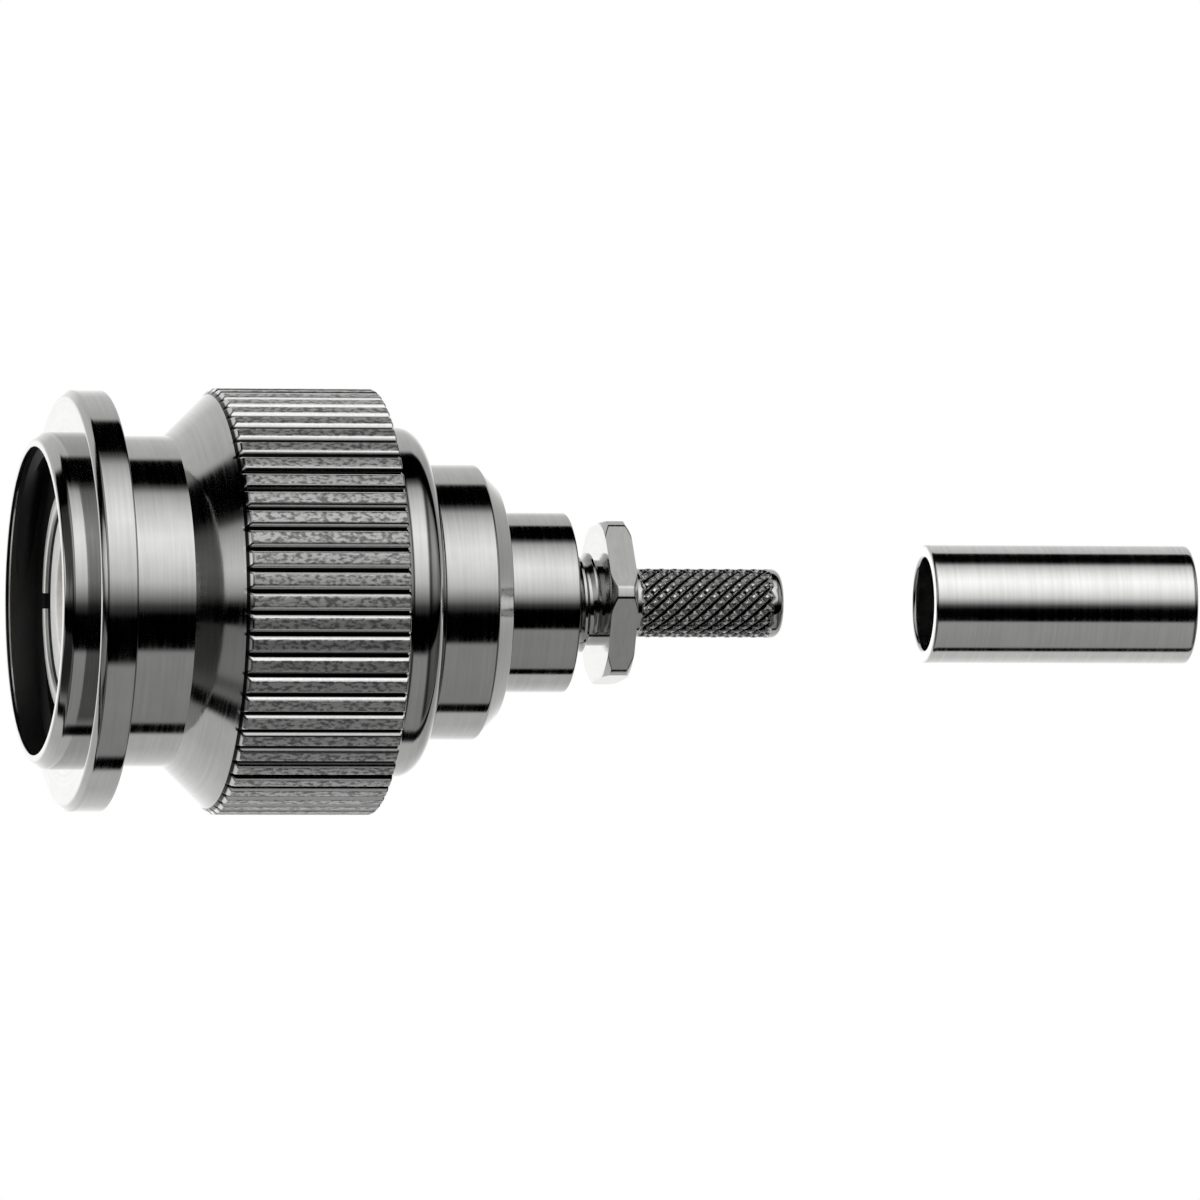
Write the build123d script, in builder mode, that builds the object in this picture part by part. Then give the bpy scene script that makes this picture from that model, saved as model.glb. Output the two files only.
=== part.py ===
import os
from math import cos, radians, sin

from build123d import *

# A coaxial cable plug with a threaded coupling nut, and its crimp sleeve drawn off behind it.
# X runs along the axis towards the cable. x = 0 is the mating reference plane,
# which is the front face of the outer contact.

# Fits between pieces
fixed_gap = 0.02
running_gap = 0.05
side_gap = 0.02

# Body: a journal for the nut, a little below the gasket's seat, a collar with a bevel, and a rear cylinder
journal_step = 0.55
line_bore_radius = 2.20
collar_rise = 0.53
collar_length = 1.91
collar_bevel = 0.68
rear_wall = 1.38
rear_length = 2.62

# Coupling nut, inside: the bore is at the root of the coupling thread, clear of the gasket's seat
seat_clearance = 0.66
run_out_depth = 0.16
run_out_width = 1.10
web_gap = 0.50

# Coupling nut, outside
rim_wall = 0.13
rim_reach = 1.05
rim_bevel_length = 0.35
lip_wall = 0.39
lip_length = 0.70
flange_radius = 7.45
flange_thickness = 1.30
flange_chamfer = 0.22
neck_wall = 0.29
neck_length = 2.34
cone_length = 1.74
shoulder_wall = 1.80
shoulder_length = 1.62
shoulder_round = 0.75
grip_rise = 1.33
grip_length = 5.63
flute_count = 62
flute_width = 0.30
flute_depth = 0.20

# Snap ring that holds the nut, and the float that its groove gives the nut
ring_setback = 1.85
ring_width = 0.70
ring_bite = 0.40
ring_depth = 0.80
ring_opening = 2.20
ring_spring_room = 0.45
groove_depth_gap = 0.10
nut_float = 0.15

# Outer contact: barrel with slotted fingers, gasket seat and tail
barrel_radius = 4.05
barrel_wall = 0.55
barrel_length = 5.60
finger_length = 4.00
finger_relief = 0.20
slot_width = 0.55
slot_length = 4.40
gasket_width = 0.85
gasket_thickness = 0.80
seat_thickness = 1.00
seat_web = 0.70
tail_wall = 0.80
tail_length = 1.80

# Insulators
front_face_setback = 0.20
front_wall = 1.06
front_floor = 1.00
bead_length = 6.70
washer_thickness = 0.66

# Crimp neck
boss_radius = 1.79
boss_thread_depth = 0.27
relief_length = 1.19
cavity_gap = 0.50
cavity_length = 2.58
cable_bore_radius = 0.80
hex_across_flats = 5.50
hex_turn = 7.0
hex_length = 0.95
hex_corner_cut = 0.105
hex_chamfer_drop = 0.195
hex_chamfer_length = 0.17
spigot_wall = 0.42
spigot_length = 5.70
spigot_edge = 0.25

# Centre contact
pin_radius = 0.675
pin_setback = 0.45
pin_nose = 0.40
shank_radius = 1.075
shank_reach = 0.30
pin_collar_clearance = 0.34
pin_collar_length = 0.70
cup_radius = 0.75
cup_wall = 0.48
cup_length = 2.60
cup_bore_depth = 2.00
solder_hole_radius = 0.20

# Crimp sleeve, drawn off behind the spigot
sleeve_offset = 5.30
sleeve_length = 9.60
braid_room = 0.43
sleeve_wall = 0.46
sleeve_edge = 0.08

# Radii that follow from the sizes above
seat_radius = barrel_radius + gasket_width
thread_root_radius = seat_radius + seat_clearance
journal_radius = seat_radius - journal_step
nut_bore_radius = journal_radius + running_gap
shoulder_radius = nut_bore_radius + shoulder_wall
grip_radius = shoulder_radius + grip_rise
rim_radius = thread_root_radius + rim_wall
lip_radius = thread_root_radius + lip_wall
neck_radius = thread_root_radius + neck_wall
run_out_radius = thread_root_radius + run_out_depth
ring_outer_radius = nut_bore_radius + ring_bite
ring_inner_radius = ring_outer_radius - ring_depth
ring_groove_radius = ring_inner_radius - ring_spring_room
nut_groove_radius = ring_outer_radius + groove_depth_gap
barrel_bore_radius = barrel_radius - barrel_wall
front_bore_radius = barrel_bore_radius - fixed_gap - front_wall
tail_radius = line_bore_radius + tail_wall
collar_radius = journal_radius + collar_rise
rear_bore_radius = boss_radius + fixed_gap
rear_radius = rear_bore_radius + rear_wall
pin_collar_radius = boss_radius - pin_collar_clearance
cup_bore_radius = cup_radius - cup_wall
relief_radius = boss_radius - boss_thread_depth
cavity_radius = cup_radius + cavity_gap
spigot_radius = cable_bore_radius + spigot_wall
sleeve_bore_radius = spigot_radius + braid_room
sleeve_radius = sleeve_bore_radius + sleeve_wall
hex_corner_radius = hex_across_flats / 3**0.5
hex_disc_radius = hex_corner_radius - hex_corner_cut

# Stations along the axis that follow from the sizes above
rim_x = -rim_reach
lip_x = rim_x + rim_bevel_length
flange_x = lip_x + lip_length
flange_end = flange_x + flange_thickness
neck_end = flange_end + neck_length
cone_end = neck_end + cone_length
grip_end = cone_end + grip_length
nut_end = grip_end + shoulder_length
seat_end = barrel_length + seat_thickness
web_x = seat_end + web_gap
thread_end = web_x - run_out_width
ring_x = web_x + ring_setback
ring_end = ring_x + ring_width
tail_end = seat_end + tail_length
collar_x = nut_end + nut_float + side_gap
collar_end = collar_x + collar_length
bevel_end = collar_end + collar_bevel
rear_end = bevel_end + rear_length
insulator_end = seat_end - seat_web
bead_end = insulator_end + bead_length
pin_collar_end = bead_end + fixed_gap + pin_collar_length
washer_end = pin_collar_end + fixed_gap + washer_thickness
neck_x = washer_end + fixed_gap
cavity_end = neck_x + cavity_length
hex_x = rear_end + relief_length
hex_end = hex_x + hex_length
spigot_end = hex_end + spigot_length
sleeve_x = spigot_end + sleeve_offset

os.makedirs("parts", exist_ok=True)


def rims(piece, radius):
    """Circular edges of one radius, in their order along the axis."""
    circles = piece.edges().filter_by(GeomType.CIRCLE)
    return circles.filter_by(lambda edge: abs(edge.radius - radius) < 0.001).sort_by(Axis.X)


# Coupling nut: turned outside and inside in one profile, then fluted.
# Its rear shoulder is rounded by three bevels.
shoulder_points = [
    (
        nut_end - shoulder_round * (1 - sin(radians(turn))),
        shoulder_radius - shoulder_round * (1 - cos(radians(turn))),
    )
    for turn in (0, 30, 60, 90)
]
with BuildPart() as coupling_nut:
    with BuildSketch(Plane.XZ):
        with BuildLine():
            Polyline(
                (rim_x, thread_root_radius),
                (rim_x, rim_radius),
                (lip_x, lip_radius),
                (flange_x, lip_radius),
                (flange_x, flange_radius),
                (flange_end, flange_radius),
                (flange_end, neck_radius),
                (neck_end, neck_radius),
                (cone_end, grip_radius),
                (grip_end, grip_radius),
                (grip_end, shoulder_radius),
                *shoulder_points,
                (nut_end, nut_bore_radius),
                (ring_end + side_gap, nut_bore_radius),
                (ring_end + side_gap, nut_groove_radius),
                (ring_x - side_gap, nut_groove_radius),
                (ring_x - side_gap, nut_bore_radius),
                (web_x, nut_bore_radius),
                (web_x, run_out_radius),
                (thread_end, run_out_radius),
                (thread_end, thread_root_radius),
                close=True,
            )
        make_face()
    revolve(axis=Axis.X)
    chamfer(rims(coupling_nut, flange_radius)[0], flange_chamfer)
    # Straight flutes: a vee run from the cone to the grip's rear face, with a crest level with the axis
    with BuildSketch(Plane.YZ.offset(neck_end)):
        with PolarLocations(grip_radius - flute_depth, flute_count, start_angle=180 / flute_count):
            Polygon((0, 0), (2 * flute_depth, flute_width), (2 * flute_depth, -flute_width))
    extrude(amount=cone_length + grip_length, mode=Mode.SUBTRACT)
coupling_nut.part.label = "coupling_nut"
export_step(coupling_nut.part, "parts/coupling_nut.step")

# Retaining ring: a flat snap ring with an opening, free in the nut's groove
with BuildPart() as retaining_ring:
    with BuildSketch(Plane.YZ.offset(ring_x)):
        Circle(ring_outer_radius)
        Circle(ring_inner_radius, mode=Mode.SUBTRACT)
        with Locations((0, -ring_outer_radius)):
            Rectangle(ring_opening, 2 * ring_outer_radius, mode=Mode.SUBTRACT)
    extrude(amount=ring_width)
retaining_ring.part.label = "retaining_ring"
export_step(retaining_ring.part, "parts/retaining_ring.step")

# Outer contact: a barrel of four spring fingers, a seat for the gasket and a tail pressed into the body
with BuildPart() as outer_contact:
    with BuildSketch(Plane.XZ):
        with BuildLine():
            Polyline(
                (0, barrel_bore_radius),
                (0, barrel_radius),
                (finger_length, barrel_radius),
                (finger_length, barrel_radius - finger_relief),
                (barrel_length, barrel_radius - finger_relief),
                (barrel_length, seat_radius),
                (seat_end, seat_radius),
                (seat_end, tail_radius),
                (tail_end, tail_radius),
                (tail_end, line_bore_radius),
                (insulator_end, line_bore_radius),
                (insulator_end, barrel_bore_radius),
                close=True,
            )
        make_face()
    revolve(axis=Axis.X)
    # Two crossed cuts make the four slots, which end behind the step of the fingers
    with BuildSketch(Plane.YZ):
        Rectangle(3 * barrel_radius, slot_width)
        Rectangle(slot_width, 3 * barrel_radius)
    extrude(amount=slot_length, mode=Mode.SUBTRACT)
outer_contact.part.label = "outer_contact"
export_step(outer_contact.part, "parts/outer_contact.step")

# Face gasket: a square-cut silicone ring round the barrel, on the seat
with BuildPart() as face_gasket:
    with BuildSketch(Plane.YZ.offset(barrel_length - gasket_thickness)):
        Circle(seat_radius)
        Circle(barrel_radius + fixed_gap, mode=Mode.SUBTRACT)
    extrude(amount=gasket_thickness - fixed_gap)
face_gasket.part.label = "face_gasket"
export_step(face_gasket.part, "parts/face_gasket.step")

# Front insulator: a cup in the barrel, open to the mating half's nose
with BuildPart() as front_insulator:
    with BuildSketch(Plane.XZ):
        with BuildLine():
            Polyline(
                (front_face_setback, front_bore_radius),
                (front_face_setback, barrel_bore_radius - fixed_gap),
                (insulator_end - fixed_gap, barrel_bore_radius - fixed_gap),
                (insulator_end - fixed_gap, shank_radius + fixed_gap),
                (insulator_end - front_floor, shank_radius + fixed_gap),
                (insulator_end - front_floor, front_bore_radius),
                close=True,
            )
        make_face()
    revolve(axis=Axis.X)
front_insulator.part.label = "front_insulator"
export_step(front_insulator.part, "parts/front_insulator.step")

# Rear insulator: a long bead that carries the contact through the body
with BuildPart() as rear_insulator:
    with BuildSketch(Plane.YZ.offset(insulator_end)):
        Circle(line_bore_radius - fixed_gap)
        Circle(shank_radius + fixed_gap, mode=Mode.SUBTRACT)
    extrude(amount=bead_length)
rear_insulator.part.label = "rear_insulator"
export_step(rear_insulator.part, "parts/rear_insulator.step")

# Centre contact: pin, shank, collar and solder cup in one turned piece
cup_end = pin_collar_end + cup_length
with BuildPart() as centre_contact:
    with BuildSketch(Plane.XZ):
        with BuildLine():
            Polyline(
                (pin_setback, 0),
                (pin_setback, pin_radius - pin_nose / 2),
                (pin_setback + pin_nose, pin_radius),
                (insulator_end - front_floor - shank_reach, pin_radius),
                (insulator_end - front_floor - shank_reach, shank_radius),
                (bead_end + fixed_gap, shank_radius),
                (bead_end + fixed_gap, pin_collar_radius),
                (pin_collar_end, pin_collar_radius),
                (pin_collar_end, cup_radius),
                (cup_end, cup_radius),
                (cup_end, cup_bore_radius),
                (cup_end - cup_bore_depth, cup_bore_radius),
                (cup_end - cup_bore_depth, 0),
                close=True,
            )
        make_face()
    revolve(axis=Axis.X)
    # Solder hole in the side of the cup
    with BuildSketch(Plane.XY):
        with Locations((cup_end - cup_bore_depth / 2, 0)):
            Circle(solder_hole_radius)
    extrude(amount=2 * cup_radius, mode=Mode.SUBTRACT)
centre_contact.part.label = "centre_contact"
export_step(centre_contact.part, "parts/centre_contact.step")

# Insulating washer: keeps the contact's collar off the crimp neck
with BuildPart() as insulating_washer:
    with BuildSketch(Plane.YZ.offset(pin_collar_end + fixed_gap)):
        Circle(boss_radius)
        Circle(cup_radius + fixed_gap, mode=Mode.SUBTRACT)
    extrude(amount=washer_thickness)
insulating_washer.part.label = "insulating_washer"
export_step(insulating_washer.part, "parts/insulating_washer.step")

# Body: journal for the nut, ring groove, collar with its bevel, and the rear cylinder
with BuildPart() as connector_body:
    with BuildSketch(Plane.XZ):
        with BuildLine():
            Polyline(
                (seat_end + fixed_gap, tail_radius + fixed_gap),
                (seat_end + fixed_gap, journal_radius),
                (ring_x - side_gap - nut_float, journal_radius),
                (ring_x - side_gap - nut_float, ring_groove_radius),
                (ring_end + side_gap + nut_float, ring_groove_radius),
                (ring_end + side_gap + nut_float, journal_radius),
                (collar_x, journal_radius),
                (collar_x, collar_radius),
                (collar_end, collar_radius),
                (bevel_end, collar_radius - collar_bevel),
                (bevel_end, rear_radius),
                (rear_end, rear_radius),
                (rear_end, rear_bore_radius),
                (bead_end + fixed_gap, rear_bore_radius),
                (bead_end + fixed_gap, line_bore_radius),
                (tail_end + fixed_gap, line_bore_radius),
                (tail_end + fixed_gap, tail_radius + fixed_gap),
                close=True,
            )
        make_face()
    revolve(axis=Axis.X)
connector_body.part.label = "connector_body"
export_step(connector_body.part, "parts/connector_body.step")

# Hexagon of the crimp neck: milled from a disc whose edges were bevelled first.
# The disc is a little smaller than the full hexagon, so each corner keeps a narrow round land.
with BuildPart() as hexagon:
    with BuildSketch(Plane.YZ.offset(hex_x)):
        RegularPolygon(hex_corner_radius, 6, rotation=-hex_turn)
        Circle(cable_bore_radius, mode=Mode.SUBTRACT)
    extrude(amount=hex_length)
    with BuildSketch(Plane.XZ):
        with BuildLine():
            Polyline(
                (hex_x, 0),
                (hex_x, hex_disc_radius - hex_chamfer_drop),
                (hex_x + hex_chamfer_length, hex_disc_radius),
                (hex_end - hex_chamfer_length, hex_disc_radius),
                (hex_end, hex_disc_radius - hex_chamfer_drop),
                (hex_end, 0),
                close=True,
            )
        make_face()
    revolve(axis=Axis.X, mode=Mode.INTERSECT)

# Crimp neck: screwed boss, hexagon and spigot over one through bore
with BuildPart() as crimp_neck:
    with BuildSketch(Plane.XZ):
        with BuildLine():
            Polyline(
                (neck_x, cavity_radius),
                (neck_x, boss_radius),
                (rear_end, boss_radius),
                (rear_end, relief_radius),
                (hex_end, relief_radius),
                (hex_end, spigot_radius),
                (spigot_end - spigot_edge, spigot_radius),
                (spigot_end, spigot_radius - spigot_edge),
                (spigot_end, cable_bore_radius),
                (cavity_end, cable_bore_radius),
                (cavity_end, cavity_radius),
                close=True,
            )
        make_face()
    revolve(axis=Axis.X)
    add(hexagon.part)
crimp_neck.part.label = "crimp_neck"
export_step(crimp_neck.part, "parts/crimp_neck.step")

# Crimp sleeve: a plain cut tube
with BuildPart() as crimp_ferrule:
    with BuildSketch(Plane.YZ.offset(sleeve_x)):
        Circle(sleeve_radius)
        Circle(sleeve_bore_radius, mode=Mode.SUBTRACT)
    extrude(amount=sleeve_length)
    chamfer(rims(crimp_ferrule, sleeve_radius), sleeve_edge)
crimp_ferrule.part.label = "crimp_ferrule"
export_step(crimp_ferrule.part, "parts/crimp_ferrule.step")
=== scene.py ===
from math import atan2, cos, degrees, hypot, pi, radians, sin

import bmesh
import bpy
from mathutils import Matrix, Vector


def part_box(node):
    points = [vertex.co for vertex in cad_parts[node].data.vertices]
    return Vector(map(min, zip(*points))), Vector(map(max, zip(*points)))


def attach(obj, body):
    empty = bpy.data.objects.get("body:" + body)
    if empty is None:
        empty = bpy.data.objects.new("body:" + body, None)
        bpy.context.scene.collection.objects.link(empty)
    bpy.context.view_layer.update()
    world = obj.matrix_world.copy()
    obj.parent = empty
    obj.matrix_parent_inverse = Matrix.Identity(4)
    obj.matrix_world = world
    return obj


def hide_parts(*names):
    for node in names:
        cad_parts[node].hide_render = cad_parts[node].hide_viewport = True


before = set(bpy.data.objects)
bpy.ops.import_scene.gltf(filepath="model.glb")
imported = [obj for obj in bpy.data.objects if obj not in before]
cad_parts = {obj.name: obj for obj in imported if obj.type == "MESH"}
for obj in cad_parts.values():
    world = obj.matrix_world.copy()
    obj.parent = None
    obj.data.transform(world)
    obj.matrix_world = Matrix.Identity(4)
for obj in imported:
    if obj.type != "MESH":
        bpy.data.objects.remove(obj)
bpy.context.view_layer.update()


# Connector body: the piece that carries all the others, turned from brass bar and bright nickel plated.
# The nut turns on its journal, and the collar with the long bevel stops the nut behind. The lathe has left
# faint rings all round it, and its corners were broken before plating.
mm = 0.001
same_point = 1e-7


def outline_wire(form, outline, edge):
    """Draws a section, given as pairs of distance along the axis and radius, and rounds its outer corners.

    A long side gets a short step beside each of its ends, so that its shading is straight up to the corners.
    """
    broken_angle = radians(25)
    steps_in_long_side = 6
    points = [form.verts.new((x * mm, 0, radius * mm)) for x, radius in outline]
    for first, second in zip(points, points[1:] + points[:1]):
        form.edges.new((first, second))
    corners = []
    for before, point, after in zip(points[-1:] + points[:-1], points, points[1:] + points[:1]):
        arriving, leaving = point.co - before.co, after.co - point.co
        hollow = arriving.x * leaving.z - arriving.z * leaving.x > 0
        if arriving.angle(leaving) > broken_angle and point.co.z > 0 and not hollow:
            corners.append(point)
    bmesh.ops.bevel(form, geom=corners, offset=edge * mm, offset_type="OFFSET", segments=3, profile=0.5,
                    affect="VERTICES", clamp_overlap=True, material=-1)
    step = edge * mm
    for side in [side for side in form.edges if side.calc_length() > steps_in_long_side * step]:
        start, end = side.verts
        length = side.calc_length()
        bmesh.utils.edge_split(side, start, step / length)
        rest = next(part for part in end.link_edges if part.calc_length() > length - 2 * step and part.is_wire
                    and start not in part.verts)
        bmesh.utils.edge_split(rest, end, step / (length - step))


def turned(outline, edge=0.04, steps=192):
    """Spins a section once round the axis into a closed solid."""
    form = bmesh.new()
    outline_wire(form, outline, edge)
    bmesh.ops.spin(form, geom=form.verts[:] + form.edges[:], cent=(0, 0, 0), axis=(1, 0, 0), dvec=(0, 0, 0),
                   angle=2 * pi, steps=steps, use_merge=True)
    bmesh.ops.remove_doubles(form, verts=form.verts[:], dist=same_point)
    bmesh.ops.recalc_face_normals(form, faces=form.faces[:])
    return form


def fitted(name, form, finishes, body, *nodes):
    """Makes a piece of a finished form, shades it and fixes it to its body in place of its plain solid."""
    sharp_angle = radians(40)
    for side in form.edges:
        side.smooth = side.is_manifold and side.calc_face_angle(0) < sharp_angle
    for face in form.faces:
        face.smooth = True
    mesh = bpy.data.meshes.new(name)
    form.to_mesh(mesh)
    form.free()
    for finish in finishes:
        mesh.materials.append(finish)
    piece = bpy.data.objects.new(name, mesh)
    bpy.context.collection.objects.link(piece)
    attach(piece, body)
    if nodes:
        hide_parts(*nodes)
    return piece


def turned_metal(name, colour, polish, ring_depth=0.0004):
    """Plated metal with tool rings round the axis, whose polish runs from its low to its high roughness."""
    ring_scale, cloud_scale = 9000, 900
    drift_around = 0.03
    ring_share = 0.6
    noise_low, noise_high = 0.38, 0.62
    darkest = 0.88
    finish = bpy.data.materials.new(name)
    finish.use_nodes = True
    nodes, links = finish.node_tree.nodes, finish.node_tree.links
    shader = nodes["Principled BSDF"]
    shader.inputs["Metallic"].default_value = 1
    place = nodes.new("ShaderNodeTexCoord")
    place.name = "Place"

    # The tool rings change along the axis and with the radius, and hardly around the axis
    across = nodes.new("ShaderNodeVectorMath")
    across.operation = "MULTIPLY"
    across.inputs[1].default_value = (0, 1, 1)
    radius = nodes.new("ShaderNodeVectorMath")
    radius.name = "Radius"
    radius.operation = "LENGTH"
    along = nodes.new("ShaderNodeSeparateXYZ")
    ring = nodes.new("ShaderNodeCombineXYZ")
    around = nodes.new("ShaderNodeVectorMath")
    around.operation = "MULTIPLY_ADD"
    around.inputs[1].default_value = (0, drift_around, drift_around)
    rings = nodes.new("ShaderNodeTexNoise")
    rings.inputs["Scale"].default_value = ring_scale
    rings.inputs["Detail"].default_value = 3
    bump = nodes.new("ShaderNodeBump")
    bump.name = "Ring bump"
    bump.inputs["Distance"].default_value = ring_depth * mm
    links.new(place.outputs["Object"], across.inputs[0])
    links.new(across.outputs[0], radius.inputs[0])
    links.new(place.outputs["Object"], along.inputs[0])
    links.new(along.outputs["X"], ring.inputs["X"])
    links.new(radius.outputs["Value"], ring.inputs["Y"])
    links.new(place.outputs["Object"], around.inputs[0])
    links.new(ring.outputs[0], around.inputs[2])
    links.new(around.outputs[0], rings.inputs["Vector"])
    links.new(rings.outputs["Fac"], bump.inputs["Height"])
    links.new(bump.outputs[0], shader.inputs["Normal"])

    # The rings polish unevenly, and the plate has a faint cloudiness
    clouds = nodes.new("ShaderNodeTexNoise")
    clouds.inputs["Scale"].default_value = cloud_scale
    clouds.inputs["Detail"].default_value = 4
    wear = nodes.new("ShaderNodeMix")
    wear.inputs["Factor"].default_value = ring_share
    dullness = nodes.new("ShaderNodeMapRange")
    dullness.name = "Dullness"
    dullness.inputs["From Min"].default_value = noise_low
    dullness.inputs["From Max"].default_value = noise_high
    dullness.inputs["To Min"].default_value = polish[0]
    dullness.inputs["To Max"].default_value = polish[1]
    tone = nodes.new("ShaderNodeValToRGB")
    tone.name = "Tone"
    tone.color_ramp.elements[0].position = noise_low
    tone.color_ramp.elements[0].color = (*[part * darkest for part in colour], 1)
    tone.color_ramp.elements[1].position = noise_high
    tone.color_ramp.elements[1].color = (*colour, 1)
    links.new(place.outputs["Object"], clouds.inputs["Vector"])
    links.new(clouds.outputs["Fac"], wear.inputs["A"])
    links.new(rings.outputs["Fac"], wear.inputs["B"])
    links.new(wear.outputs["Result"], dullness.inputs["Value"])
    links.new(dullness.outputs["Result"], shader.inputs["Roughness"])
    links.new(wear.outputs["Result"], tone.inputs["Fac"])
    links.new(tone.outputs["Color"], shader.inputs["Base Color"])
    return finish


nickel = (0.66, 0.66, 0.65)
bright_nickel = turned_metal("bright_nickel", nickel, (0.05, 0.12))

body_front, body_rear = (corner.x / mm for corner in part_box("connector_body"))
journal_radius = 4.35
tail_bore = 3.02
line_bore = 2.20
ring_groove_front, ring_groove_rear, ring_groove_radius = 8.78, 9.82, 3.55
collar_front, collar_rear, collar_radius = 12.80, 14.71, 4.88
bevel = 0.68
rear_radius, rear_bore = 3.19, 1.81
tail_end, bead_end = 8.42, 12.62

body_form = turned([
    (body_front, tail_bore),
    (body_front, journal_radius),
    (ring_groove_front, journal_radius),
    (ring_groove_front, ring_groove_radius),
    (ring_groove_rear, ring_groove_radius),
    (ring_groove_rear, journal_radius),
    (collar_front, journal_radius),
    (collar_front, collar_radius),
    (collar_rear, collar_radius),
    (collar_rear + bevel, collar_radius - bevel),
    (collar_rear + bevel, rear_radius),
    (body_rear, rear_radius),
    (body_rear, rear_bore),
    (bead_end, rear_bore),
    (bead_end, line_bore),
    (tail_end, line_bore),
    (tail_end, tail_bore),
])
turned_body = fitted("turned_body", body_form, [bright_nickel], "body", "connector_body")


# Outer contact: a spring bronze barrel with four fingers, nickel plated. It is turned, slotted with a thin
# saw and pressed by its tail into the body. The fingers are thicker at the front, where they touch the
# mating half, and their rims are tumbled dull, with a paler plate that is a painted highlight. The deep bore
# is painted near black, a painted shade.


def cut_with(form, tool):
    """Cuts one closed form with another, and gives back the form that is left."""
    pair = []
    for name, part in (("blank", form), ("tool", tool)):
        mesh = bpy.data.meshes.new(name)
        part.to_mesh(mesh)
        part.free()
        piece = bpy.data.objects.new(name, mesh)
        bpy.context.collection.objects.link(piece)
        pair.append(piece)
    blank, cutter = pair
    cut = blank.modifiers.new("Cut", "BOOLEAN")
    cut.operation = "DIFFERENCE"
    cut.solver = "EXACT"
    cut.object = cutter
    left = blank.evaluated_get(bpy.context.evaluated_depsgraph_get()).to_mesh()
    result = bmesh.new()
    result.from_mesh(left)
    for piece in pair:
        bpy.data.objects.remove(piece)
    return result


barrel_front, contact_rear = (corner.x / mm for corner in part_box("outer_contact"))
barrel_radius, barrel_bore = 4.05, 3.50
finger_length, finger_relief = 4.00, 0.20
barrel_length = 5.60
seat_radius, seat_rear = 4.90, 6.60
tail_radius, web_front = 3.00, 5.90
slot_width, slot_length = 0.55, 4.40
contact_edge = 0.12
allowance = 0.01
dull = (0.40, 0.50)
contact_nickel = turned_metal("contact_nickel", (0.84, 0.83, 0.80), (0.08, 0.16))
# The rim's tumbled roughness is real, and its paler plate is a painted highlight.
dull_rim_painted_highlight = turned_metal("dull_rim_painted_highlight", (0.90, 0.89, 0.87), dull)
# Near-black plate for the deep bores and the nut's mouth: a painted shade, not a finish of the metal.
painted_shade_nickel = turned_metal("painted_shade_nickel", (0.08, 0.08, 0.08), dull)

contact_form = turned([
    (barrel_front, barrel_bore),
    (barrel_front, barrel_radius),
    (finger_length, barrel_radius),
    (finger_length, barrel_radius - finger_relief),
    (barrel_length, barrel_radius - finger_relief),
    (barrel_length, seat_radius),
    (seat_rear, seat_radius),
    (seat_rear, tail_radius),
    (contact_rear, tail_radius),
    (contact_rear, line_bore),
    (web_front, line_bore),
    (web_front, barrel_bore),
], edge=contact_edge)
blade_width = 3 * barrel_radius
for across, upright in ((slot_width, blade_width), (blade_width, slot_width)):
    saw = bmesh.new()
    bmesh.ops.create_cube(saw, size=mm, matrix=Matrix.Diagonal((2 * slot_length, across, upright, 1)))
    contact_form = cut_with(contact_form, saw)
for face in contact_form.faces:
    middle = face.calc_center_median() / mm
    radius = hypot(middle.y, middle.z)
    # Rim faces get the paler plate, a painted highlight.
    if middle.x < barrel_front + contact_edge and radius > barrel_bore:
        face.material_index = 1
    # The barrel's deep bore gets the near-black painted shade.
    elif middle.x < web_front and radius < barrel_bore + allowance:
        face.material_index = 2
contact_finishes = [contact_nickel, dull_rim_painted_highlight, painted_shade_nickel]
slotted_contact = fitted("slotted_contact", contact_form, contact_finishes, "body", "outer_contact")


# Face gasket: a square-cut ring of moulded silicone rubber, pushed over the barrel on to its seat, where the
# rim of the mating half presses on it. It keeps a soft matt skin from its mould.


def soft_skin(name, colour, roughness, grain, grain_depth):
    """A moulded or turned soft material with a fine grain and slightly uneven colour."""
    noise_low, noise_high = 0.35, 0.65
    darkest = 0.9
    finish = bpy.data.materials.new(name)
    finish.use_nodes = True
    nodes, links = finish.node_tree.nodes, finish.node_tree.links
    shader = nodes["Principled BSDF"]
    shader.inputs["Roughness"].default_value = roughness
    place = nodes.new("ShaderNodeTexCoord")
    specks = nodes.new("ShaderNodeTexNoise")
    specks.inputs["Scale"].default_value = grain
    specks.inputs["Detail"].default_value = 5
    tone = nodes.new("ShaderNodeValToRGB")
    tone.color_ramp.elements[0].position = noise_low
    tone.color_ramp.elements[0].color = (*[part * darkest for part in colour], 1)
    tone.color_ramp.elements[1].position = noise_high
    tone.color_ramp.elements[1].color = (*colour, 1)
    bump = nodes.new("ShaderNodeBump")
    bump.inputs["Distance"].default_value = grain_depth * mm
    links.new(place.outputs["Object"], specks.inputs["Vector"])
    links.new(specks.outputs["Fac"], tone.inputs["Fac"])
    links.new(specks.outputs["Fac"], bump.inputs["Height"])
    links.new(tone.outputs["Color"], shader.inputs["Base Color"])
    links.new(bump.outputs[0], shader.inputs["Normal"])
    return finish


gasket_front, gasket_rear = (corner.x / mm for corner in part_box("face_gasket"))
gasket_bore = barrel_radius + 0.02
silicone = soft_skin("silicone", (0.32, 0.10, 0.06), roughness=0.5, grain=4000, grain_depth=0.004)
gasket_form = turned([
    (gasket_front, gasket_bore),
    (gasket_front, seat_radius),
    (gasket_rear, seat_radius),
    (gasket_rear, gasket_bore),
], edge=0.08)
moulded_gasket = fitted("moulded_gasket", gasket_form, [silicone], "body", "face_gasket")


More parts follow.
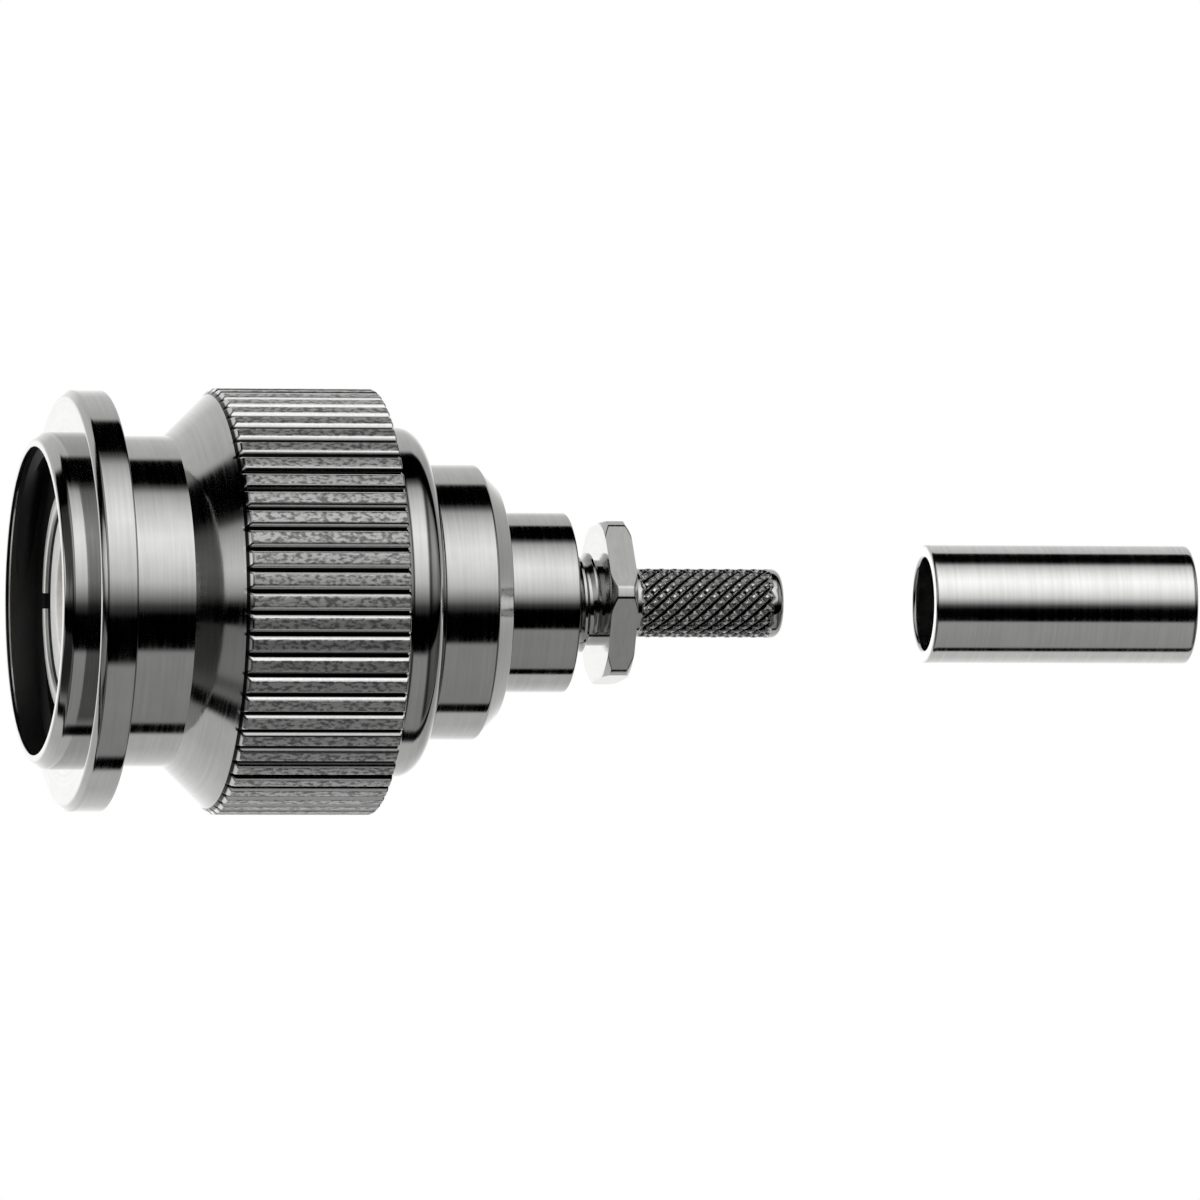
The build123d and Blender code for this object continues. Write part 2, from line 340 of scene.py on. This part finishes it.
# Insulators: a cup in the barrel, a long bead in the body and a washer behind the contact, all turned from
# white fluoropolymer, which is slightly waxy and shows the fine rings of the tool. They are pushed in.
white_polymer = soft_skin("white_polymer", (0.82, 0.82, 0.80), roughness=0.42, grain=2500, grain_depth=0.003)
waxy = white_polymer.node_tree.nodes["Principled BSDF"].inputs
waxy["Subsurface Weight"].default_value = 0.15
waxy["Subsurface Scale"].default_value = 0.4 * mm

cup_front, cup_rear = (corner.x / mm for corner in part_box("front_insulator"))
cup_radius, cup_bore, shank_hole = 3.48, 2.42, 1.095
cup_floor = 4.90
cup_form = turned([
    (cup_front, cup_bore),
    (cup_front, cup_radius),
    (cup_rear, cup_radius),
    (cup_rear, shank_hole),
    (cup_floor, shank_hole),
    (cup_floor, cup_bore),
], edge=0.05)
turned_cup = fitted("turned_cup", cup_form, [white_polymer], "body", "front_insulator")
for node in ("rear_insulator", "insulating_washer"):
    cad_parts[node].data.materials.clear()
    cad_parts[node].data.materials.append(white_polymer)


# Centre contact: pin, shank, collar and solder cup turned in one piece of brass and gold plated. The bead
# and the washer hold it by its collar, and the cable's core is soldered into the cup through its side hole.
gold = turned_metal("gold", (0.83, 0.62, 0.26), (0.12, 0.20))
pin_front, cup_end = (corner.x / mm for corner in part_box("centre_contact"))
tip_radius, tip_middle_radius = 0.42, 0.60
tip_middle, tip_length = 0.16, 0.45
pin_radius, shank_radius, pin_collar_radius = 0.675, 1.075, 1.45
solder_cup_radius, solder_bore = 0.75, 0.27
pin_end, shank_end, pin_collar_end = 4.60, 12.62, 13.32
solder_depth, hole_radius = 2.00, 0.20
pin_form = turned([
    (pin_front, 0),
    (pin_front, tip_radius),
    (pin_front + tip_middle, tip_middle_radius),
    (pin_front + tip_length, pin_radius),
    (pin_end, pin_radius),
    (pin_end, shank_radius),
    (shank_end, shank_radius),
    (shank_end, pin_collar_radius),
    (pin_collar_end, pin_collar_radius),
    (pin_collar_end, solder_cup_radius),
    (cup_end, solder_cup_radius),
    (cup_end, solder_bore),
    (cup_end - solder_depth, solder_bore),
    (cup_end - solder_depth, 0),
], edge=0.05, steps=96)
drill = bmesh.new()
hole_place = Matrix.Translation(((cup_end - solder_depth / 2) * mm, 0, solder_cup_radius * mm))
bmesh.ops.create_cone(drill, cap_ends=True, segments=32, radius1=hole_radius * mm, radius2=hole_radius * mm,
                      depth=2 * solder_cup_radius * mm, matrix=hole_place)
pin_form = cut_with(pin_form, drill)
turned_pin = fitted("turned_pin", pin_form, [gold], "body", "centre_contact")


# Crimp neck: a screwed boss, a hexagon for the spanner and a diamond-knurled spigot over one bore, turned
# from brass and nickel plated. The boss is screwed into the body, and the braid is crimped on the knurl.
neck_front, spigot_end = (corner.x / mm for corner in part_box("crimp_neck"))
cavity_radius, boss_radius, thread_root, cable_bore = 1.25, 1.79, 1.52, 0.80
cavity_end = 16.60
boss_step = 0.10
hexagon_front, hexagon_rear = 19.20, 20.15
hexagon_flats = 5.50
hexagon_turn = 7
hexagon_disc = 3.07
chamfer_drop, chamfer_length = 0.195, 0.17
spigot_radius = 1.22
spigot_round = ((0.25, 0), (0.17, 0.02), (0.08, 0.08), (0.02, 0.17), (0, 0.25))
knurl_front, knurl_rear = 20.65, 25.45
knurl_starts, knurl_depth, knurl_period = 16, 0.14, 0.48
knurl_run_out = 0.15
second_groove = 0.6
knurl_rows = 116
chamfer_rows = 10

neck_outline = [
    (neck_front, cavity_radius),
    (neck_front, boss_radius),
    (body_rear, boss_radius),
    (body_rear + boss_step, thread_root),
    (hexagon_front, thread_root),
]
for row in range(chamfer_rows + 1):
    share = row / chamfer_rows
    neck_outline.append((hexagon_front + chamfer_length * share, hexagon_disc - chamfer_drop * (1 - share)))
for row in range(chamfer_rows + 1):
    share = row / chamfer_rows
    neck_outline.append((hexagon_rear - chamfer_length * (1 - share), hexagon_disc - chamfer_drop * share))
neck_outline.append((hexagon_rear, spigot_radius))
for row in range(knurl_rows + 1):
    neck_outline.append((knurl_front + (knurl_rear - knurl_front) * row / knurl_rows, spigot_radius))
for back, drop in spigot_round:
    neck_outline.append((spigot_end - back, spigot_radius - drop))
neck_outline += [
    (spigot_end, cable_bore),
    (cavity_end, cable_bore),
    (cavity_end, cavity_radius),
]
neck_form = turned(neck_outline, edge=0.03, steps=300)
# The columns of points are turned so that one lies on each corner of the hexagon
bmesh.ops.rotate(neck_form, verts=neck_form.verts[:], cent=(0, 0, 0),
                 matrix=Matrix.Rotation(radians(90 - hexagon_turn - 60), 3, "X"))


def groove(turn):
    """Depth of a knurled groove, from 0 on the crest to 1 in its bottom, by the share of a pitch."""
    half_width = 0.30
    return max(0, 1 - abs(turn % 1 - 0.5) / half_width)


def set_radius(point, radius, kept):
    """Moves a point straight to or from the axis, from its radius to the one that is kept."""
    point.co.y *= kept / radius
    point.co.z *= kept / radius


for point in neck_form.verts:
    x, y, z = point.co / mm
    radius = hypot(y, z)
    angle = atan2(z, y)
    on_hexagon = hexagon_front - allowance < x < hexagon_rear + allowance
    if on_hexagon and radius > hexagon_flats / 2 - chamfer_drop:
        from_flat = (degrees(angle) + hexagon_turn) % 60 - 30
        set_radius(point, radius, min(radius, hexagon_flats / 2 / cos(radians(from_flat))))
    elif knurl_front <= x <= knurl_rear and radius > spigot_radius - allowance:
        share = angle / (2 * pi) * knurl_starts
        deep = max(groove(share + x / knurl_period), second_groove * groove(share - x / knurl_period))
        fade = min(1, (x - knurl_front) / knurl_run_out, (knurl_rear - x) / knurl_run_out)
        set_radius(point, radius, radius - knurl_depth * deep * fade)
bmesh.ops.remove_doubles(neck_form, verts=neck_form.verts[:], dist=same_point)


def grooved_metal(name, colour, top_radius, depth, crest_colour, crest_roughness, grain_scale):
    """Plated metal pressed by a wheel: its crests are dull and grainy, and the lower part of its grooves is
    painted near black, a painted shade.
    """
    crest_low, crest_high = 0.07, 0.01
    painted_shade_low, painted_shade_high = 0.64, 0.44
    noise_low, noise_high = 0.40, 0.55
    darkest = 0.36
    grain_along = 0.55
    grain_depth = 0.008
    finish = turned_metal(name, colour, (0.10, 0.16))
    nodes, links = finish.node_tree.nodes, finish.node_tree.links
    shader = nodes["Principled BSDF"]
    on_crest = nodes.new("ShaderNodeMapRange")
    on_crest.inputs["From Min"].default_value = (top_radius - crest_low * depth) * mm
    on_crest.inputs["From Max"].default_value = (top_radius - crest_high * depth) * mm
    in_groove = nodes.new("ShaderNodeMapRange")
    in_groove.inputs["From Min"].default_value = (top_radius - painted_shade_low * depth) * mm
    in_groove.inputs["From Max"].default_value = (top_radius - painted_shade_high * depth) * mm
    in_groove.inputs["To Min"].default_value = 1
    in_groove.inputs["To Max"].default_value = 0
    links.new(nodes["Radius"].outputs["Value"], on_crest.inputs["Value"])
    links.new(nodes["Radius"].outputs["Value"], in_groove.inputs["Value"])

    # The wheel's grain is drawn out along the axis, and the lower half of each groove is painted near black
    # as painted shade
    drawn = nodes.new("ShaderNodeVectorMath")
    drawn.operation = "MULTIPLY"
    drawn.inputs[1].default_value = (grain_along, 1, 1)
    grain = nodes.new("ShaderNodeTexNoise")
    grain.inputs["Scale"].default_value = grain_scale
    grain.inputs["Detail"].default_value = 3
    mottle = nodes.new("ShaderNodeValToRGB")
    mottle.color_ramp.elements[0].position = noise_low
    mottle.color_ramp.elements[0].color = (*[part * darkest for part in crest_colour], 1)
    mottle.color_ramp.elements[1].position = noise_high
    mottle.color_ramp.elements[1].color = (*crest_colour, 1)
    crest = nodes.new("ShaderNodeMix")
    crest.data_type = "RGBA"
    groove_painted_shade = nodes.new("ShaderNodeMix")
    groove_painted_shade.data_type = "RGBA"
    groove_painted_shade.inputs["B"].default_value = (0.02, 0.02, 0.02, 1)
    links.new(nodes["Place"].outputs["Object"], drawn.inputs[0])
    links.new(drawn.outputs[0], grain.inputs["Vector"])
    links.new(grain.outputs["Fac"], mottle.inputs["Fac"])
    links.new(on_crest.outputs["Result"], crest.inputs["Factor"])
    links.new(nodes["Tone"].outputs["Color"], crest.inputs["A"])
    links.new(mottle.outputs["Color"], crest.inputs["B"])
    links.new(in_groove.outputs["Result"], groove_painted_shade.inputs["Factor"])
    links.new(crest.outputs["Result"], groove_painted_shade.inputs["A"])
    links.new(groove_painted_shade.outputs["Result"], shader.inputs["Base Color"])

    # The crests are duller than the flanks, and only they are pitted
    crest_finish = nodes.new("ShaderNodeMix")
    crest_finish.inputs["B"].default_value = crest_roughness
    links.new(on_crest.outputs["Result"], crest_finish.inputs["Factor"])
    links.new(nodes["Dullness"].outputs["Result"], crest_finish.inputs["A"])
    links.new(crest_finish.outputs["Result"], shader.inputs["Roughness"])
    pits = nodes.new("ShaderNodeMath")
    pits.operation = "MULTIPLY"
    dents = nodes.new("ShaderNodeBump")
    dents.inputs["Distance"].default_value = grain_depth * mm
    links.new(grain.outputs["Fac"], pits.inputs[0])
    links.new(on_crest.outputs["Result"], pits.inputs[1])
    links.new(pits.outputs[0], dents.inputs["Height"])
    links.new(nodes["Ring bump"].outputs[0], dents.inputs["Normal"])
    links.new(dents.outputs[0], shader.inputs["Normal"])
    return finish


neck_nickel = turned_metal("neck_nickel", nickel, (0.06, 0.14))
pale_nickel = (0.90, 0.90, 0.89)
# The knurl's grooves carry this painted shade.
knurl_nickel = grooved_metal("knurl_nickel", nickel, spigot_radius, knurl_depth, pale_nickel,
                             crest_roughness=0.25, grain_scale=3000)
for face in neck_form.faces:
    middle = face.calc_center_median() / mm
    if knurl_front < middle.x < knurl_rear and hypot(middle.y, middle.z) > cable_bore + allowance:
        face.material_index = 1
knurled_neck = fitted("knurled_neck", neck_form, [neck_nickel, knurl_nickel], "body", "crimp_neck")


# Turns of the thread on the crimp neck's boss: the last few stand clear of the body, in front of the
# hexagon. They were cut with a die and run out before the hexagon's face.


def thread_turns(start, end, pitch, wall, root_half, crest, crest_half, steps=96):
    """A vee-shaped ridge wound right-handed round the axis, with its foot sunk in the wall it stands on."""
    sunk = 0.03
    run_in = 0.35
    foot = wall + (sunk if crest < wall else -sunk)
    ridge = ((-root_half, foot), (-crest_half, crest), (crest_half, crest), (root_half, foot))
    form = bmesh.new()
    form.faces.new([form.verts.new(((start + offset) * mm, radius * mm, 0)) for offset, radius in ridge])
    turns = (end - start) / pitch
    bmesh.ops.spin(form, geom=form.verts[:] + form.edges[:] + form.faces[:], cent=(0, 0, 0), axis=(1, 0, 0),
                   dvec=(pitch / steps * mm, 0, 0), angle=2 * pi * turns, steps=round(steps * turns))
    bmesh.ops.remove_doubles(form, verts=form.verts[:], dist=same_point)
    for point in form.verts:
        x, y, z = point.co / mm
        radius = hypot(y, z)
        part_turn = atan2(z, y) / (2 * pi) % 1
        whole = round((x - start) / pitch - part_turn)
        wound = whole + part_turn
        rise = max(0.0, min(1, wound / run_in, (turns - wound) / run_in))
        set_radius(point, radius, foot + (radius - foot) * rise)
    bmesh.ops.recalc_face_normals(form, faces=form.faces[:])
    return form


neck_turns = thread_turns(start=18.30, end=19.05, pitch=0.45, wall=thread_root, root_half=0.20,
                          crest=boss_radius - 0.02, crest_half=0.04)
boss_thread = fitted("boss_thread", neck_turns, [neck_nickel], "body")


# Retaining ring: a C-shaped snap ring stamped from phosphor bronze and left plain. It is sprung into the
# body's groove, and the nut is pushed on over it until it opens into the nut's own groove.
bronze = turned_metal("bronze", (0.55, 0.36, 0.20), (0.25, 0.35))
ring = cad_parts["retaining_ring"]
ring.data.materials.clear()
ring.data.materials.append(bronze)


# Coupling nut: turned from brass bar in one piece and bright nickel plated, with a rim and lip at the mouth,
# a flange, a waisted neck and a grip of 62 straight flutes that run out on the cone. The flutes' crests stay
# a little duller than the turned faces, because the knurling wheel presses its own grain into them.
mouth, nut_end = (corner.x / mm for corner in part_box("coupling_nut"))
opening_radius, root_radius = 5.42, 5.56
rim_radius, lip_radius, lip_front = 5.69, 5.95, -0.70
flange_radius, flange_rear, flange_chamfer = 7.45, 1.30, 0.22
waist_radius, cone_front, cone_rear = 5.85, 3.64, 5.38
grip_radius, grip_rear = 7.53, 11.01
shoulder_radius, shoulder_round, fillet = 6.20, 0.75, 0.40
flute_count, flute_depth, flute_half = 62, 0.20, 0.19
flute_curve = 1.3
steps_per_flute = 12
run_out_rows, fillet_rows, round_rows = 5, 6, 8
nut_bore = 4.40
groove_front, groove_rear, groove_radius = 8.93, 9.67, 4.90
web, thread_end, run_out_radius = 7.10, 6.00, 5.72

cone_slope = (grip_radius - waist_radius) / (cone_rear - cone_front)
run_out_foot = cone_rear - flute_depth / cone_slope
before_run_out, first_row = 0.12, 0.02
nut_outline = [
    (mouth, opening_radius),
    (mouth, rim_radius),
    (lip_front, lip_radius),
    (0, lip_radius),
    (0, flange_radius - flange_chamfer),
    (flange_chamfer, flange_radius),
    (flange_rear, flange_radius),
    (flange_rear, waist_radius),
    (cone_front, waist_radius),
    (run_out_foot - before_run_out, waist_radius + (run_out_foot - before_run_out - cone_front) * cone_slope),
]
for row in range(run_out_rows + 1):
    x = run_out_foot - first_row + (cone_rear - run_out_foot + first_row) * row / run_out_rows
    nut_outline.append((x, waist_radius + (x - cone_front) * cone_slope))
nut_outline.append((grip_rear, grip_radius))
for row in range(fillet_rows + 1):
    turn = radians(90 * row / fillet_rows)
    nut_outline.append((grip_rear + fillet * (1 - cos(turn)), shoulder_radius + fillet * (1 - sin(turn))))
for row in range(round_rows + 1):
    turn = radians(90 * row / round_rows)
    back, drop = shoulder_round * (1 - sin(turn)), shoulder_round * (1 - cos(turn))
    nut_outline.append((nut_end - back, shoulder_radius - drop))
nut_outline += [
    (nut_end, nut_bore),
    (groove_rear, nut_bore),
    (groove_rear, groove_radius),
    (groove_front, groove_radius),
    (groove_front, nut_bore),
    (web, nut_bore),
    (web, run_out_radius),
    (thread_end, run_out_radius),
    (thread_end, root_radius),
    (mouth + root_radius - opening_radius, root_radius),
]
nut_edge = 0.05
nut_form = turned(nut_outline, edge=nut_edge, steps=flute_count * steps_per_flute)
for point in nut_form.verts:
    x, y, z = point.co / mm
    radius = hypot(y, z)
    on_grip = run_out_foot - first_row - allowance < x < grip_rear + allowance
    if on_grip and radius > grip_radius - flute_depth - nut_edge:
        share = atan2(z, y) / (2 * pi) * flute_count
        across = abs(share % 1 - 0.5) * 2 * pi * radius / flute_count
        kept = grip_radius - flute_depth * max(0, 1 - across / flute_half) ** flute_curve
        set_radius(point, radius, min(radius, kept))
bmesh.ops.remove_doubles(nut_form, verts=nut_form.verts[:], dist=same_point)
# The nut's bore behind the rim, up to the web, is painted near black: a painted shade in the mouth.
dark_front, dark_rear = mouth + 0.2, web + 0.1
for face in nut_form.faces:
    middle = face.calc_center_median() / mm
    radius = hypot(middle.y, middle.z)
    on_grip = run_out_foot < middle.x < grip_rear - nut_edge - allowance
    if on_grip and radius > grip_radius - flute_depth - nut_edge:
        face.material_index = 1
    elif dark_front < middle.x < dark_rear and radius < run_out_radius + allowance:
        face.material_index = 2
# The flutes' grooves carry the same painted shade.
fluted_nickel = grooved_metal("fluted_nickel", pale_nickel, grip_radius, flute_depth, (0.85, 0.85, 0.84),
                              crest_roughness=0.48, grain_scale=8000)
nut_finishes = [bright_nickel, fluted_nickel, painted_shade_nickel]
fluted_nut = fitted("fluted_nut", nut_form, nut_finishes, "nut", "coupling_nut")


# Turns of the coupling thread in the nut's mouth: a 7/16-28 thread cut with a single point, which starts
# behind the rim and ends at the run-out groove.
# The thread's turns are painted near black too, a painted shade deep in the mouth.
coupling_turns = thread_turns(start=mouth + 0.60, end=5.75, pitch=25.4 / 28, wall=root_radius, root_half=0.40,
                              crest=5.14, crest_half=0.15, steps=144)
coupling_thread = fitted("coupling_thread", coupling_turns, [painted_shade_nickel], "nut")


# Crimp sleeve: a length of drawn brass tube, cut, tumbled so that its ends are slightly rounded, and nickel
# plated. It is crimped over the cable's braid with a hand tool, and until then it slides free.
sleeve_front, sleeve_rear = (corner.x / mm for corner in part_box("crimp_ferrule"))
sleeve_radius, sleeve_bore = 2.11, 1.65
sleeve_nickel = turned_metal("sleeve_nickel", (0.86, 0.86, 0.85), (0.08, 0.14), ring_depth=0.0002)
sleeve_form = turned([
    (sleeve_front, sleeve_bore),
    (sleeve_front, sleeve_radius),
    (sleeve_rear, sleeve_radius),
    (sleeve_rear, sleeve_bore),
], edge=0.10)
drawn_sleeve = fitted("drawn_sleeve", sleeve_form, [sleeve_nickel], "sleeve", "crimp_ferrule")


# Table: a plain pale disc of matt card, well under the plug. It takes the plug's soft shadow, and towards
# its rim it fades into the white room.
table_radius = 90
table_centre = (18 * mm, 0, -24 * mm)
fade_start, fade_end = 40, 85
table_form = bmesh.new()
bmesh.ops.create_circle(table_form, cap_ends=True, segments=96, radius=table_radius * mm,
                        matrix=Matrix.Translation(table_centre))
table_mesh = bpy.data.meshes.new("table")
table_form.to_mesh(table_mesh)
table_form.free()
table = bpy.data.objects.new("table", table_mesh)
bpy.context.collection.objects.link(table)
table.visible_glossy = False
pale = bpy.data.materials.new("pale_table")
pale.use_nodes = True
nodes, links = pale.node_tree.nodes, pale.node_tree.links
shader = nodes["Principled BSDF"]
shader.inputs["Roughness"].default_value = 0.9
shader.inputs["Base Color"].default_value = (0.92, 0.92, 0.92, 1)
place = nodes.new("ShaderNodeTexCoord")
centre = nodes.new("ShaderNodeVectorMath")
centre.operation = "DISTANCE"
centre.inputs[1].default_value = table_centre
fade = nodes.new("ShaderNodeMapRange")
fade.inputs["From Min"].default_value = fade_start * mm
fade.inputs["From Max"].default_value = fade_end * mm
fade.inputs["To Min"].default_value = 1
fade.inputs["To Max"].default_value = 0
links.new(place.outputs["Object"], centre.inputs[0])
links.new(centre.outputs["Value"], fade.inputs["Value"])
links.new(fade.outputs["Result"], shader.inputs["Alpha"])
table_mesh.materials.append(pale)


# Room: white soft boxes above and behind, grey walls below and black flags between them, which give the
# plate its clean bands. The bands lie along the plug's axis, by height angle seen from the front, and the
# two ends of the room are dark in front and nearly white behind.
brightest = 1.6
seam = 0.06
levels = [
    (-180, 1.25), (-150, 0.75), (-125, 0.56), (-107, 0.55), (-104, 0), (-96, 0), (-93, 0.28), (-60, 0.30),
    (-36, 0.31), (-33, 0), (-9, 0), (-3, 0.06), (3, 0.30), (13, 0.72), (22, 0.90), (33, 1.08), (45, 1.18),
    (58, 1.00), (70, 0.76), (80, 0.50), (86, 0.10), (90, 0), (115, 0), (119, 0.55), (150, 0.66), (180, 1.25),
]
front_levels = [
    (-1, 0.10), (-0.985, 0.12), (-0.975, 0.60), (-0.93, 0.75), (-0.90, 0.75), (-0.88, 0.06), (-0.76, 0.08),
    (-0.68, 0.35), (-0.50, 0.40), (-0.36, 0.30), (-0.28, 0.22), (-0.17, 0.40), (-0.06, 1), (0.30, 1),
    (0.42, 0.10), (0.50, 0.10), (0.62, 0.36), (0.80, 0.40), (0.90, 0.28), (1, 0.10),
]
back_levels = [(-1, 0.8), (-0.9, 1), (0.35, 1), (0.60, 0.75), (1, 0.65)]


def fill_ramp(ramp, stops):
    """Gives a ramp its grey stops, each a pair of place and brightness from 0 to 1."""
    while len(ramp.elements) < len(stops):
        ramp.elements.new(0.5)
    for element, (stop, level) in zip(ramp.elements, stops):
        element.position = stop
        element.color = (level, level, level, 1)


room = bpy.data.worlds.new("room")
bpy.context.scene.world = room
room.use_nodes = True
nodes, links = room.node_tree.nodes, room.node_tree.links
background = nodes["Background"]
place = nodes.new("ShaderNodeTexCoord")
split = nodes.new("ShaderNodeSeparateXYZ")
facing = nodes.new("ShaderNodeMath")
facing.operation = "MULTIPLY"
facing.inputs[1].default_value = -1
height = nodes.new("ShaderNodeMath")
height.operation = "ARCTAN2"
turn = nodes.new("ShaderNodeMapRange")
turn.inputs["From Min"].default_value = -pi
turn.inputs["From Max"].default_value = pi
bands = nodes.new("ShaderNodeValToRGB")
brightness = nodes.new("ShaderNodeMath")
brightness.operation = "MULTIPLY"
brightness.inputs[1].default_value = brightest
front_ends = nodes.new("ShaderNodeValToRGB")
back_ends = nodes.new("ShaderNodeValToRGB")
in_front = nodes.new("ShaderNodeMapRange")
in_front.inputs["From Min"].default_value = -seam
in_front.inputs["From Max"].default_value = seam
ends = nodes.new("ShaderNodeMix")
side = nodes.new("ShaderNodeMapRange")
side.inputs["From Min"].default_value = -1
dimmed = nodes.new("ShaderNodeMath")
dimmed.operation = "MULTIPLY"
fill_ramp(bands.color_ramp, [((angle + 180) / 360, level / brightest) for angle, level in levels])
fill_ramp(front_ends.color_ramp, [((along + 1) / 2, level) for along, level in front_levels])
fill_ramp(back_ends.color_ramp, [((along + 1) / 2, level) for along, level in back_levels])
seen = nodes.new("ShaderNodeLightPath")
mix = nodes.new("ShaderNodeMix")
mix.data_type = "FLOAT"
mix.inputs["B"].default_value = 1
links.new(place.outputs["Generated"], split.inputs[0])
links.new(split.outputs["Y"], facing.inputs[0])
links.new(split.outputs["Z"], height.inputs[0])
links.new(facing.outputs[0], height.inputs[1])
links.new(height.outputs[0], turn.inputs["Value"])
links.new(turn.outputs["Result"], bands.inputs["Fac"])
links.new(split.outputs["X"], side.inputs["Value"])
links.new(side.outputs["Result"], front_ends.inputs["Fac"])
links.new(side.outputs["Result"], back_ends.inputs["Fac"])
links.new(facing.outputs[0], in_front.inputs["Value"])
links.new(in_front.outputs["Result"], ends.inputs["Factor"])
links.new(back_ends.outputs["Color"], ends.inputs["A"])
links.new(front_ends.outputs["Color"], ends.inputs["B"])
links.new(bands.outputs["Color"], dimmed.inputs[0])
links.new(ends.outputs["Result"], dimmed.inputs[1])
links.new(dimmed.outputs[0], brightness.inputs[0])
links.new(seen.outputs["Is Camera Ray"], mix.inputs["Factor"])
links.new(brightness.outputs[0], mix.inputs["A"])
links.new(mix.outputs["Result"], background.inputs["Strength"])
background.inputs["Color"].default_value = (1, 1, 1, 1)


# Lamp: one broad soft lamp above and in front, which brings the white polymer, the gasket and the table up to
# a plain level. Polished metal shows only the room.
lamp_power = 2.2
lamp_spread = radians(50)
lamp_direction = Vector((0.55, 0.45, -0.70))
lamp_data = bpy.data.lights.new("soft_lamp", "SUN")
lamp_data.energy = lamp_power
lamp_data.angle = lamp_spread
lamp = bpy.data.objects.new("soft_lamp", lamp_data)
bpy.context.collection.objects.link(lamp)
lamp.rotation_euler = lamp_direction.to_track_quat("-Z", "Y").to_euler()
lamp.visible_glossy = False


# Camera: a long lens level with the axis, on a stand at the plug's side and a little towards its mouth, as
# for a catalogue.
aim = Vector((19.38 * mm, 0, 0.1 * mm))
distance = 700 * mm
side_turn = radians(12.3)
half_width = 21.28 * mm
roll = radians(0.2)
camera = bpy.data.objects.new("camera", bpy.data.cameras.new("camera"))
bpy.context.collection.objects.link(camera)
camera.location = aim + distance * Vector((-sin(side_turn), -cos(side_turn), 0))
camera.data.lens = camera.data.sensor_width / 2 * distance / half_width
camera.data.clip_end = 10
look = (aim - camera.location).to_track_quat("-Z", "Y").to_matrix().to_4x4()
camera.matrix_world = Matrix.Translation(camera.location) @ look @ Matrix.Rotation(roll, 4, "Z")
bpy.context.scene.camera = camera
bpy.context.scene.view_settings.view_transform = "Standard"
